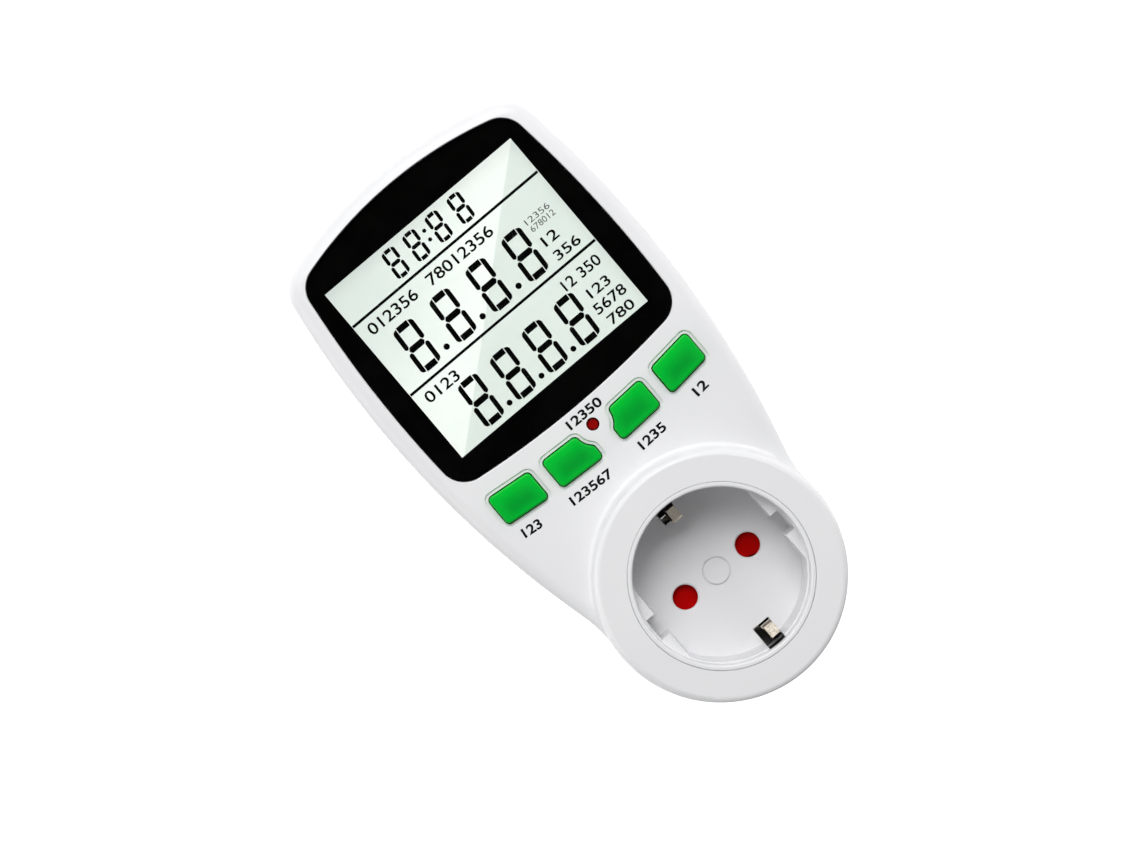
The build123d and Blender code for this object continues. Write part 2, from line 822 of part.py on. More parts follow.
# Keypad mat: a rubber sheet with a hollow dome under each key
dome_sizes = [(centre, dome_foot_radius, dome_top_radius) for _, _, _, centre in key_places]
dome_sizes.append(((0, reset_z), reset_dome_foot, reset_dome_top))
with BuildPart() as keypad_mat:
    with BuildSketch(at(board_front)):
        with Locations((0, (mat_top + mat_bottom) / 2)):
            RectangleRounded(2 * mat_half_width, mat_top - mat_bottom, mat_corner_radius)
    extrude(amount=mat_thickness)
    for (x, z), foot, top in dome_sizes:
        with BuildSketch(at(mat_front)):
            with Locations((x, z)):
                Circle(foot)
        with BuildSketch(at(dome_top)):
            with Locations((x, z)):
                Circle(top)
        loft()
    for (x, z), foot, top in dome_sizes:
        with BuildSketch(at(board_front)):
            with Locations((x, z)):
                Circle(foot - dome_wall)
        with BuildSketch(at(dome_top - 1.5 * dome_wall)):
            with Locations((x, z)):
                Circle(top - dome_wall)
        loft(mode=Mode.SUBTRACT)
finish("keypad_mat", keypad_mat)

# Main board, located on the case bosses and screwed to the front cover's posts
with BuildPart() as main_board:
    with BuildSketch(at(board_back)):
        add(case_outline(wall + board_edge_gap))
        with Locations((0, board_bottom)):
            Rectangle(
                2 * board_half_width, case_top, align=(Align.CENTER, Align.MIN), mode=Mode.INTERSECT
            )
        with Locations(*top_screws):
            Circle(top_boss_radius + screw_head_clearance, mode=Mode.SUBTRACT)
        with Locations(*board_screw_places):
            Circle(small_screw[2] + screw_clearance, mode=Mode.SUBTRACT)
    extrude(amount=board_thickness)
finish("main_board", main_board)

# Parts on the back of the board: X and Z of each, and its sizes
chip_place, chip_size = (0.0, 78.0), (10.0, 4.0, 1.7)
chip_leads, chip_lead_pitch, chip_lead_reach = 8, 1.27, 1.1
with BuildPart() as meter_chip:
    with BuildSketch(at(board_back - 0.15)):
        with Locations(chip_place):
            Rectangle(*chip_size[:2])
    extrude(amount=-chip_size[2])
    chamfer(meter_chip.edges().group_by(Axis.Y)[-1], 0.2)
    with BuildSketch(at(board_back)):
        with Locations(chip_place):
            with GridLocations(chip_lead_pitch, chip_size[1] + chip_lead_reach, chip_leads, 2):
                Rectangle(0.45, chip_lead_reach + 0.2)
    extrude(amount=-0.8)
finish("meter_chip", meter_chip)

electrolytic_place, electrolytic_radius, electrolytic_length = (-15.0, 64.0), 4.0, 11.0
with BuildPart() as electrolytic_capacitor:
    with BuildSketch(at(board_back)):
        with Locations(electrolytic_place):
            Circle(electrolytic_radius)
    extrude(amount=-electrolytic_length)
    fillet(electrolytic_capacitor.edges().group_by(Axis.Y)[-1], 0.5)
finish("electrolytic_capacitor", electrolytic_capacitor)

film_place, film_size = (12.0, 60.0), (18.0, 8.0, tall_part_height)
with BuildPart() as film_capacitor:
    with BuildSketch(at(board_back)):
        with Locations(film_place):
            RectangleRounded(*film_size[:2], 0.6)
    extrude(amount=-film_size[2])
finish("film_capacitor", film_capacitor)

varistor_place, varistor_radius, varistor_thickness = (-22.0, 40.0), 5.0, 3.8
with BuildPart() as varistor:
    with BuildSketch(Plane.XY.offset(varistor_place[1])):
        with Locations((varistor_place[0], varistor_radius - board_back)):
            Circle(varistor_radius)
    extrude(amount=varistor_thickness)
finish("varistor", varistor)

resistor_place, resistor_radius, resistor_length = (-20.0, 88.0), 2.0, 10.0
with BuildPart() as power_resistor:
    with BuildSketch(Plane.YZ.offset(resistor_place[0])):
        with Locations((resistor_radius - board_back, resistor_place[1])):
            Circle(resistor_radius)
    extrude(amount=resistor_length)
    fillet(power_resistor.edges().filter_by(GeomType.CIRCLE), 0.5)
finish("power_resistor", power_resistor)

rectifier_place, rectifier_size = (16.0, 80.0), (6.4, 4.8, 2.6)
with BuildPart() as rectifier:
    with BuildSketch(at(board_back)):
        with Locations(rectifier_place):
            Rectangle(*rectifier_size[:2])
    extrude(amount=-rectifier_size[2])
finish("rectifier", rectifier)

crystal_place, crystal_size = (-11.0, 78.0), (4.0, 10.0, 3.5)
with BuildPart() as crystal:
    with BuildSketch(at(board_back)):
        with Locations(crystal_place):
            SlotOverall(crystal_size[1], crystal_size[0])
    extrude(amount=-crystal_size[2])
finish("crystal", crystal)

cell_place, backup_radius, backup_length = (-2.0, 98.0), tall_part_height / 2, 16.0
with BuildPart() as backup_cell:
    with BuildSketch(Plane.YZ.offset(cell_place[0])):
        with Locations((backup_radius - board_back, cell_place[1])):
            Circle(backup_radius)
    extrude(amount=backup_length)
    fillet(backup_cell.edges().filter_by(GeomType.CIRCLE), 0.5)
finish("backup_cell", backup_cell)

# Socket well: recess with guide ribs, pin holes, earth openings, fixing lugs and shutter post
hub_end = floor_back - shutter_gap - shutter_thickness - hub_drop
cup_top_face = floor_back - cup_depth
with BuildPart() as socket_well:
    with BuildSketch(at(floor_back)):
        Circle(well_radius)
    extrude(amount=collar_height - floor_back)
    chamfer(socket_well.edges().group_by(Axis.Y)[0], well_edge_chamfer)
    with BuildSketch(at(floor_height)):
        Circle(recess_radius)
    extrude(amount=recess_depth, mode=Mode.SUBTRACT)
    with BuildSketch(at(collar_height - rib_drop)):
        Circle(mouth_radius)
    extrude(amount=rib_drop, mode=Mode.SUBTRACT)
    fillet(socket_well.edges().group_by(Axis.Y)[0].sort_by(SortBy.LENGTH)[0], well_mouth_round)
    with BuildSketch(at(floor_height)):
        Circle(recess_radius)
        Rectangle(2 * rib_flat, 2 * recess_radius, mode=Mode.SUBTRACT)
        Rectangle(2 * recess_radius, rib_slot, mode=Mode.SUBTRACT)
    extrude(amount=recess_depth - rib_drop)
    with BuildSketch(at(floor_back)):
        with Locations(*socket_holes):
            Circle(socket_hole_radius)
    extrude(amount=well_floor, mode=Mode.SUBTRACT)
    hole_rims = [
        e
        for e in socket_well.edges().filter_by(GeomType.CIRCLE)
        if abs(e.radius - socket_hole_radius) < 0.01 and abs(e.center().Y + floor_height) < 0.01
    ]
    chamfer(hole_rims, socket_hole_chamfer)
    with BuildSketch(at(floor_height - centre_ring_depth)):
        Circle(centre_ring_radius)
        Circle(centre_ring_radius - centre_ring_width, mode=Mode.SUBTRACT)
    extrude(amount=centre_ring_depth, mode=Mode.SUBTRACT)
    with BuildSketch(at(floor_back)):
        Circle(well_radius + well_flange_width)
        Circle(recess_radius, mode=Mode.SUBTRACT)
        for x, z in well_screw_places:
            with Locations((x, z)):
                Circle(well_boss_radius)
            with Locations(((x + well_radius * x / abs(x)) / 2, z)):
                Rectangle(abs(x) - well_radius, 2 * well_boss_radius)
        with Locations(*low_screws):
            Circle(low_boss_radius + screw_head_clearance, mode=Mode.SUBTRACT)
        with Locations(*well_screw_places):
            Circle(small_screw[2] + screw_clearance, mode=Mode.SUBTRACT)
    extrude(amount=well_flange)
    with BuildSketch(at(floor_back)):
        for end in (-1, 1):
            with Locations((0, end * (earth_slot_inner + well_radius) / 2)):
                Rectangle(earth_slot_width, well_radius - earth_slot_inner)
    extrude(amount=well_floor + earth_slot_rise, mode=Mode.SUBTRACT)
    with BuildSketch(at(floor_back)):
        Circle(post_radius)
    extrude(amount=-cup_depth + cup_bottom)
    with BuildSketch(at(floor_back - cup_depth + cup_bottom)):
        Circle(small_screw[2] + screw_clearance)
    extrude(amount=cup_depth - cup_bottom, mode=Mode.SUBTRACT)
finish("socket_well", socket_well)

# Shutter: a disc whose two holes come in line with the pin holes when it turns
shutter_front = floor_back - shutter_gap
shutter_back = shutter_front - shutter_thickness
with BuildPart() as shutter:
    with BuildSketch(at(shutter_back)):
        Circle(shutter_radius)
        with Locations(Location((0, 0, 0), shutter_tab_angle)):
            Rectangle(
                shutter_radius + shutter_tab_reach, shutter_tab_width, align=(Align.MIN, Align.CENTER)
            )
    extrude(amount=shutter_thickness)
    with BuildSketch(at(shutter_back)):
        with PolarLocations(pin_spacing / 2, 2, start_angle=-shutter_turn):
            Circle(shutter_hole_radius)
    extrude(amount=shutter_thickness, mode=Mode.SUBTRACT)
    front_rims = shutter.edges().group_by(Axis.Y)[0].filter_by(GeomType.CIRCLE)
    rims = [e for e in front_rims if e.radius < shutter_radius / 2]
    chamfer(rims, shutter_hole_chamfer)
    with BuildSketch(at(shutter_back)):
        Circle(hub_radius)
    extrude(amount=-hub_drop)
    with BuildSketch(at(hub_end)):
        Circle(post_radius + hub_clearance)
    extrude(amount=shutter_thickness + hub_drop, mode=Mode.SUBTRACT)
finish("shutter", shutter)

# Shutter spring: a wound wire round the hub, with a straight leg
with BuildPart() as shutter_spring:
    with BuildLine() as wire:
        coil = Helix(
            pitch=spring_pitch,
            height=spring_pitch * spring_turns,
            radius=spring_radius,
            center=(0, -(shutter_back - spring_wire / 2 - spring_gap), 0),
            direction=(0, 1, 0),
        )
        Line(coil @ 1, coil @ 1 + (coil % 1) * spring_leg)
    with BuildSketch(Plane(origin=coil @ 0, z_dir=coil % 0)):
        Circle(spring_wire / 2)
    sweep(path=wire.line, is_frenet=True)
finish("shutter_spring", shutter_spring)

# Carrier cup: encloses the shutter, lets the contacts through and limits the shutter's turn
with BuildPart() as contact_carrier:
    with BuildSketch(at(cup_top_face)):
        Circle(cup_inner + cup_wall)
    extrude(amount=cup_depth)
    with BuildSketch(at(cup_top_face + cup_bottom)):
        Circle(cup_inner)
    extrude(amount=cup_depth, mode=Mode.SUBTRACT)
    with BuildSketch(at(cup_top_face)):
        with Locations(*socket_holes):
            Rectangle(
                contact_gap_mouth + 2 * (strip + contact_window_gap), contact_width + 2 * contact_window_gap
            )
        Circle(small_screw[2] + screw_clearance)
    extrude(amount=cup_bottom, mode=Mode.SUBTRACT)
    tab_margin = degrees((shutter_tab_width / 2 + shutter_gap) / cup_inner)
    window_start = shutter_tab_angle - tab_margin
    window_sweep = shutter_turn + 2 * tab_margin
    with BuildSketch(at(shutter_back - shutter_gap)):
        with BuildLine():
            inner_arc = CenterArc((0, 0), cup_inner - cup_wall / 2, window_start, window_sweep)
            outer_arc = CenterArc((0, 0), cup_inner + 1.5 * cup_wall, window_start, window_sweep)
            Line(inner_arc @ 0, outer_arc @ 0)
            Line(inner_arc @ 1, outer_arc @ 1)
        make_face()
    extrude(amount=cup_depth, mode=Mode.SUBTRACT)
finish("contact_carrier", contact_carrier)
screws("carrier_screw", [(0, 0)], cup_top_face, carrier_screw_length, small_screw)

# Plug pins, each with a seat in the boss, a flange and a riveted tail
retainer_seat = boss_face + pin_flange
contact_seat = retainer_seat + retainer_thickness
for name, place in zip(("line_pin", "neutral_pin"), reversed(socket_holes)):
    with BuildPart() as pin:
        with BuildSketch(at(-pin_length)):
            with Locations(place):
                Circle(pin_radius)
        extrude(amount=pin_length)
        fillet(pin.edges().group_by(Axis.Y)[-1], pin_tip_round)
        with BuildSketch(at(0)):
            with Locations(place):
                Circle(pin_seat_radius)
        extrude(amount=boss_face)
        with BuildSketch(at(boss_face)):
            with Locations(place):
                Circle(pin_flange_radius)
        extrude(amount=pin_flange)
        with BuildSketch(at(retainer_seat)):
            with Locations(place):
                Circle(pin_tail_radius)
        extrude(amount=retainer_thickness + strip)
    finish(name, pin)

# Retainer plate over the pin flanges
with BuildPart() as pin_retainer:
    with BuildSketch(at(retainer_seat)):
        RectangleRounded(retainer_width, retainer_height, retainer_corner_radius)
        with Locations(*retainer_posts):
            Circle(retainer_post_radius + retainer_post_rim)
        Rectangle(2 * retainer_post_radius, 2 * retainer_post_z)
        with Locations(*retainer_posts):
            Circle(small_screw[2] + screw_clearance, mode=Mode.SUBTRACT)
        with Locations(*socket_holes):
            Circle(pin_tail_radius + pin_tail_clearance, mode=Mode.SUBTRACT)
    extrude(amount=retainer_thickness)
finish("pin_retainer", pin_retainer)
screws("retainer_screws", retainer_posts, contact_seat, retainer_screw_length, small_screw, forward=-1)


def contact(name, x, seat, hole_radius):
    """A socket contact: a base with two spring leaves that grip a pin."""
    pinch = floor_back - contact_pinch_drop
    mouth = floor_back - contact_top_drop
    with BuildPart() as piece:
        with BuildSketch(at(seat)):
            with Locations((x, 0)):
                Rectangle(*contact_base)
                Circle(hole_radius, mode=Mode.SUBTRACT)
        extrude(amount=strip)
        for side in (-1, 1):
            gaps = [(contact_gap_foot, seat), (contact_gap_pinch, pinch), (contact_gap_mouth, mouth)]
            inner = [(x + side * gap / 2, -h) for gap, h in gaps]
            outer = [(px + side * strip, py) for px, py in reversed(inner)]
            with BuildSketch(Plane.XY):
                with BuildLine():
                    Polyline(*inner, *outer, close=True)
                make_face()
            extrude(amount=contact_width / 2, both=True)
    finish(name, piece)


line_x, neutral_x = pin_spacing / 2, -pin_spacing / 2
tail_hole = pin_tail_radius + rivet_clearance
contact("neutral_contact", neutral_x, contact_seat, tail_hole)
contact("line_contact", line_x, contact_seat + strip + shunt_rise, tail_hole / 2)

# Current shunt: a folded strip from the line pin's tail up to the line contact
with BuildPart() as current_shunt:
    with BuildSketch(at(contact_seat)):
        with Locations((line_x, 0)):
            Rectangle(contact_width, 2 * shunt_reach)
            Circle(tail_hole, mode=Mode.SUBTRACT)
    extrude(amount=strip)
    with BuildSketch(at(contact_seat)):
        with Locations((line_x, -shunt_reach)):
            Rectangle(contact_width, strip, align=(Align.CENTER, Align.MIN))
    extrude(amount=strip + shunt_rise)
    with BuildSketch(at(contact_seat + shunt_rise)):
        with Locations((line_x, -shunt_reach)):
            Rectangle(contact_width, shunt_reach + contact_width / 2, align=(Align.CENTER, Align.MIN))
    extrude(amount=strip)
finish("current_shunt", current_shunt)

# Earth strap: plug-side blades, a bridge inside the case and the clips in the recess
earth_step = floor_back - earth_step_drop
with BuildPart() as earth_strap:
    for end in (-1, 1):
        with BuildSketch(Plane.YZ):
            with BuildLine() as route:
                FilletPolyline(
                    (-earth_start, end * earth_radius),
                    (-earth_step, end * earth_radius),
                    (-floor_back, end * earth_clip_radius),
                    (-(floor_height + earth_clip_rise), end * earth_clip_radius),
                    (-(floor_height + earth_nose_rise), end * earth_nose_radius),
                    (-(floor_height + earth_tip_rise), end * earth_tip_radius),
                    radius=earth_bend,
                )
            trace(line_width=strip)
        extrude(amount=earth_width, both=True)
    with BuildSketch(Plane.XY):
        with Locations((0, -earth_step)):
            Rectangle(earth_width, earth_step, align=(Align.CENTER, Align.MIN))
        nose_height = floor_height + earth_nose_rise + strip
        with Locations((earth_clip_shift, -nose_height)):
            RectangleRounded(earth_clip_width, nose_height, earth_tip_round, align=(Align.CENTER, Align.MIN))
        tip_height = floor_height + earth_tip_rise + strip
        with Locations((earth_tip_shift, -tip_height)):
            RectangleRounded(earth_tip_width, tip_height, earth_tip_round, align=(Align.CENTER, Align.MIN))
    extrude(amount=recess_radius, both=True, mode=Mode.INTERSECT)
    with BuildSketch(at(back_inside + earth_bridge_gap)):
        Rectangle(earth_width, 2 * earth_radius)
    extrude(amount=strip)
finish("earth_strap", earth_strap)


def lead(name, x, start_height, start_z, wire_radius, end_z):
    """An insulated wire from a contact, along the back plate, up to the board."""
    run_height = back_inside + wire_radius + lead_gap
    with BuildPart() as wire:
        with BuildLine() as route:
            FilletPolyline(
                (x, -start_height, start_z),
                (x, -run_height, start_z),
                (x, -run_height, end_z),
                (x, -board_back, end_z),
                radius=lead_bend,
            )
        with BuildSketch(at(start_height)):
            with Locations((x, start_z)):
                Circle(wire_radius)
        sweep(path=route.line)
    finish(name, wire)


lead_z = contact_base[1] / 2 - lead_radius - lead_seat_inset
lead_end = board_bottom + lead_board_inset
lead("neutral_lead", neutral_x, contact_seat + strip, lead_z, lead_radius, lead_end)
lead("line_lead", line_x, contact_seat + 2 * strip + shunt_rise, lead_z, lead_radius, lead_end)

# Screws
screws("case_screws", case_screw_places, wall_height + case_counterbore, case_screw_length, case_screw)
screws("well_screws", well_screw_places, floor_back, well_screw_length, small_screw)
screws("board_screws", board_screw_places, board_back, board_screw_length, small_screw)
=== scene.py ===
import math

import bmesh
import bpy
from mathutils import Euler, Matrix, Vector


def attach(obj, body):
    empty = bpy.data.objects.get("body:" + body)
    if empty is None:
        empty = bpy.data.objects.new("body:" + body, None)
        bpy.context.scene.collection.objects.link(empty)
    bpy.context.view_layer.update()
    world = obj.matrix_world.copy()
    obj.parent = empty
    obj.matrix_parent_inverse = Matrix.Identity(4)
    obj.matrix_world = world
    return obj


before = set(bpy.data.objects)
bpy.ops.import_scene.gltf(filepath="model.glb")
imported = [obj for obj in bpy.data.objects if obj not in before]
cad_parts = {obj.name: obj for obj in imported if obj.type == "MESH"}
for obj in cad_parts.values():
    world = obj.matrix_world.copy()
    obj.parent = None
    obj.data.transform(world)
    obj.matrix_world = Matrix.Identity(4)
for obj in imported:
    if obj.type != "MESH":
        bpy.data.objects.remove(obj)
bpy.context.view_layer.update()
MM = 0.001
PER_METRE = 1.0 / MM

# Display window, the main face and the figures' front, as the case has them, in millimetres
WINDOW_HALF_WIDTH = 27.8
WINDOW_BOTTOM = 58.22
WINDOW_TOP = 106.97
FACE = 44.0
FIGURES_FRONT = 39.45

# Keys: centre across and up, width, height, and in degrees how their top and bottom rise to the right
KEY_SHAPES = {
    "button_set": (-23.95, 42.89, 11.1, 7.45, -6.3),
    "button_energy": (-8.81, 41.67, 11.58, 7.5, -2.7),
    "button_cost": (8.81, 41.67, 11.58, 7.5, 2.7),
    "button_up": (23.95, 42.89, 11.1, 7.45, 6.3),
}


# Node helpers
def fill_socket(tree, socket, value):
    """Link the socket to another node's output, or set its own value."""
    if isinstance(value, bpy.types.NodeSocket):
        tree.links.new(value, socket)
    else:
        socket.default_value = value


def node(tree, kind, settings=None, **inputs):
    """One shader node; inputs are named by socket, with _ for a space, or by place as i0, i1."""
    made = tree.nodes.new("ShaderNode" + kind)
    for key, value in (settings or {}).items():
        setattr(made, key, value)
    for key, value in inputs.items():
        is_place = key[0] == "i" and key[1:].isdigit()
        socket = made.inputs[int(key[1:])] if is_place else made.inputs[key.replace("_", " ")]
        fill_socket(tree, socket, value)
    return made


def maths(tree, operation, first, second=0.0):
    return node(tree, "Math", {"operation": operation}, i0=first, i1=second).outputs[0]


def vector_maths(tree, operation, first, second):
    return node(tree, "VectorMath", {"operation": operation}, i0=first, i1=second).outputs[0]


def spread(tree, value, low, high, start=0.0, end=1.0, smooth=False):
    """A value from low..high taken to start..end, held at both ends."""
    kind = {"interpolation_type": "SMOOTHSTEP" if smooth else "LINEAR"}
    return node(
        tree, "MapRange", kind, Value=value, From_Min=low, From_Max=high, To_Min=start, To_Max=end
    ).outputs[0]


def within(tree, value, middle, half):
    """1 where a value is no further than half from the middle, and 0 elsewhere."""
    return node(tree, "Math", {"operation": "COMPARE"}, i0=value, i1=middle, i2=half).outputs[0]


def blend_colours(tree, amount, first, second):
    return node(tree, "Mix", {"data_type": "RGBA"}, i0=amount, i6=first, i7=second).outputs[2]


def noise(tree, place, scale, detail=2.0, roughness=0.5):
    return node(tree, "TexNoise", Vector=place, Scale=scale, Detail=detail, Roughness=roughness).outputs[0]


def here(tree):
    """The piece's own coordinates, in metres."""
    return node(tree, "TexCoord").outputs["Object"]


def sides_of(tree, place):
    """The X, Y and Z of a place."""
    return node(tree, "SeparateXYZ", Vector=place).outputs


def mixed(tree, first, second, share):
    """Two values added, the first with its share and the second with the rest."""
    kept = maths(tree, "MULTIPLY", first, share)
    return maths(tree, "ADD", kept, maths(tree, "MULTIPLY", second, 1.0 - share))


def new_group(name, inputs, outputs):
    """An empty shader node group with named sockets."""
    tree = bpy.data.node_groups.new(name, "ShaderNodeTree")
    kinds = {float: "NodeSocketFloat", tuple: "NodeSocketColor", Vector: "NodeSocketVector"}
    for label, value in inputs.items():
        socket = tree.interface.new_socket(name=label, in_out="INPUT", socket_type=kinds[type(value)])
        socket.default_value = value
    for label, kind in outputs.items():
        tree.interface.new_socket(name=label, in_out="OUTPUT", socket_type=kinds[kind])
    return tree, tree.nodes.new("NodeGroupInput").outputs, tree.nodes.new("NodeGroupOutput").inputs


def place_group(tree, group, **inputs):
    """The group's outputs, in a material."""
    made = tree.nodes.new("ShaderNodeGroup")
    made.node_tree = group
    for key, value in inputs.items():
        fill_socket(tree, made.inputs[key.replace("_", " ")], value)
    return made.outputs


# Shared effects
def make_moulded_grain():
    """Fine eroded texture of a mould, over the slow waviness of a moulded wall."""
    start = {"Grain": 0.3, "Waviness": 12.0}
    tree, given, out = new_group("moulded_grain", start, {"Height": float, "Sheen": float})
    place = here(tree)
    fine = noise(tree, place, maths(tree, "DIVIDE", PER_METRE, given["Grain"]), detail=3.0, roughness=0.6)
    slow = noise(tree, place, maths(tree, "DIVIDE", PER_METRE, given["Waviness"]))
    tree.links.new(mixed(tree, fine, slow, 0.6), out["Height"])
    tree.links.new(spread(tree, mixed(tree, slow, fine, 0.7), 0.35, 0.65), out["Sheen"])
    return tree


def make_tone_drift():
    """Slow change of tone over a surface, with fine flecks in it."""
    white = (1.0, 1.0, 1.0, 1.0)
    tree, given, out = new_group(
        "tone_drift", {"Colour": white, "Shade": white, "Size": 20.0, "Fleck": 0.8}, {"Colour": tuple}
    )
    place = here(tree)
    slow = noise(tree, place, maths(tree, "DIVIDE", PER_METRE, given["Size"]), detail=3.0, roughness=0.55)
    fleck = noise(tree, place, maths(tree, "DIVIDE", PER_METRE, given["Fleck"]))
    patches = spread(tree, slow, 0.35, 0.65, 0.0, 0.8)
    amount = maths(tree, "ADD", patches, spread(tree, fleck, 0.55, 0.75, 0.0, 0.2))
    tree.links.new(blend_colours(tree, amount, given["Colour"], given["Shade"]), out["Colour"])
    return tree


def make_drawn_lines():
    """Lines left along a drawn or brushed metal piece, with scattered rub marks."""
    line_scale, mark_scale = 900.0, 350.0
    start = {"Stretch": Vector((1.0, 1.0, 1.0))}
    tree, given, out = new_group("drawn_lines", start, {"Height": float, "Rub": float})
    scaled = vector_maths(tree, "MULTIPLY", here(tree), given["Stretch"])
    lines = noise(tree, scaled, line_scale, detail=3.0, roughness=0.6)
    marks = noise(tree, here(tree), mark_scale, detail=3.0, roughness=0.65)
    tree.links.new(lines, out["Height"])
    tree.links.new(spread(tree, mixed(tree, lines, marks, 0.6), 0.38, 0.62), out["Rub"])
    return tree


def make_key_painted_highlight():
    """Masks for a key's painted highlight: Rim is 0 at a key's middle and 1 at its edge, and Light is 1 at
    its top, along the key's slope, where the light falls.
    """
    corner_softness = 0.25
    start = {"Centre": Vector((0.0, 0.0, 0.0)), "Half Width": 1.0, "Half Height": 1.0, "Slope": 0.0}
    tree, given, out = new_group("key_painted_highlight", start, {"Rim": float, "Light": float})
    sides = sides_of(tree, vector_maths(tree, "SUBTRACT", here(tree), given["Centre"]))
    level = maths(tree, "SUBTRACT", sides["Z"], maths(tree, "MULTIPLY", sides["X"], given["Slope"]))
    across = maths(tree, "DIVIDE", sides["X"], given["Half Width"])
    up = maths(tree, "DIVIDE", level, given["Half Height"])
    rim = maths(tree, "SMOOTH_MAX", maths(tree, "ABSOLUTE", across), maths(tree, "ABSOLUTE", up))
    rim.node.inputs[2].default_value = corner_softness
    tree.links.new(spread(tree, rim, 0.35, 1.0, smooth=True), out["Rim"])
    tree.links.new(spread(tree, up, -0.3, 1.1, smooth=True), out["Light"])
    return tree


def make_ring_band():
    """1 on a ring about the socket's axis, over a span of depth, where painted shade goes."""
    start = {"Radius": 1.0, "Half Width": 1.0, "Depth": 0.0, "Half Span": 1.0}
    tree, given, out = new_group("ring_band", start, {"Band": float})
    flat = vector_maths(tree, "MULTIPLY", here(tree), (1.0, 0.0, 1.0))
    radius = node(tree, "VectorMath", {"operation": "LENGTH"}, i0=flat).outputs["Value"]
    depth = sides_of(tree, here(tree))["Y"]
    near = within(tree, radius, given["Radius"], given["Half Width"])
    level = within(tree, depth, given["Depth"], given["Half Span"])
    tree.links.new(maths(tree, "MULTIPLY", near, level), out["Band"])
    return tree


MOULDED_GRAIN = make_moulded_grain()
TONE_DRIFT = make_tone_drift()
DRAWN_LINES = make_drawn_lines()
KEY_PAINTED_HIGHLIGHT = make_key_painted_highlight()
RING_BAND = make_ring_band()


def new_material(name):
    made = bpy.data.materials.new(name)
    made.use_nodes = True
    tree = made.node_tree
    return made, tree, tree.nodes["Principled BSDF"], tree.nodes["Material Output"]


def set_values(shader, **values):
    for key, value in values.items():
        shader.inputs[key.replace("_", " ")].default_value = value


def opaque(colour):
    return (*colour, 1.0)


def set_gloss(tree, shader, sheen, gloss):
    """Roughness from the lowest to the highest of gloss, as the sheen goes from 0 to 1."""
    tree.links.new(spread(tree, sheen, 0.0, 1.0, *gloss), shader.inputs["Roughness"])


def set_relief(tree, shader, height, strength, depth):
    """Relief from a height between 0 and 1; depth is in millimetres."""
    bump = node(tree, "Bump", Height=height, Strength=strength, Distance=depth * MM)
    tree.links.new(bump.outputs[0], shader.inputs["Normal"])


def plastic(
    name,
    colour,
    shade,
    gloss,
    grain=0.3,
    depth=0.012,
    waviness=12.0,
    size=20.0,
    fleck=0.8,
    ring=None,
    **uniform,
):
    """Moulded plastic, rubber or lacquer: gloss is its roughness, lowest and highest.

    The grain, its relief's depth, the waviness, and the size of patches and flecks are in millimetres.
    A ring of another tone, painted shade, is its radius, half its width, its middle's depth, half its span
    and its colour.
    """
    made, tree, shader, _ = new_material(name)
    texture = place_group(tree, MOULDED_GRAIN, Grain=grain, Waviness=waviness)
    drift = place_group(
        tree, TONE_DRIFT, Colour=opaque(colour), Shade=opaque(shade), Size=size, Fleck=fleck
    )
    tone = drift["Colour"]
    # Painted shade: a ring of darker tone over the drifting colour
    if ring:
        radius, half_width, depth_middle, half_span, ring_colour = ring
        band = place_group(
            tree,
            RING_BAND,
            Radius=radius * MM,
            Half_Width=half_width * MM,
            Depth=-depth_middle * MM,
            Half_Span=half_span * MM,
        )
        tone = blend_colours(tree, band["Band"], tone, opaque(ring_colour))
    tree.links.new(tone, shader.inputs["Base Color"])
    set_gloss(tree, shader, texture["Sheen"], gloss)
    set_relief(tree, shader, texture["Height"], strength=0.6, depth=depth)
    set_values(shader, **uniform)
    return made


def metal(name, colour, shade, gloss, stretch, depth=0.004):
    """Plated, drawn or stamped metal, its lines running along the axis that stretch makes small."""
    made, tree, shader, _ = new_material(name)
    lines = place_group(tree, DRAWN_LINES, Stretch=stretch)
    drift = place_group(tree, TONE_DRIFT, Colour=opaque(colour), Shade=opaque(shade), Size=4.0, Fleck=0.3)
    tree.links.new(drift["Colour"], shader.inputs["Base Color"])
    set_gloss(tree, shader, lines["Rub"], gloss)
    set_relief(tree, shader, lines["Height"], strength=0.5, depth=depth)
    set_values(shader, Metallic=1.0)
    return made


# Greens of a key: its middle, its rim with painted highlight, its top lit by painted highlight, the patches
# in them, and its roughness
KEY_MIDDLE = (0.0, 0.315, 0.025, 1.0)
KEY_RIM_PAINTED_HIGHLIGHT = (0.0, 0.45, 0.032, 1.0)
KEY_TOP_PAINTED_HIGHLIGHT = (0.0, 0.54, 0.034, 1.0)
KEY_PATCH = (0.0, 0.36, 0.03, 1.0)
KEY_PATCH_SHARE = 0.15
KEY_GLOSS = (0.26, 0.36)


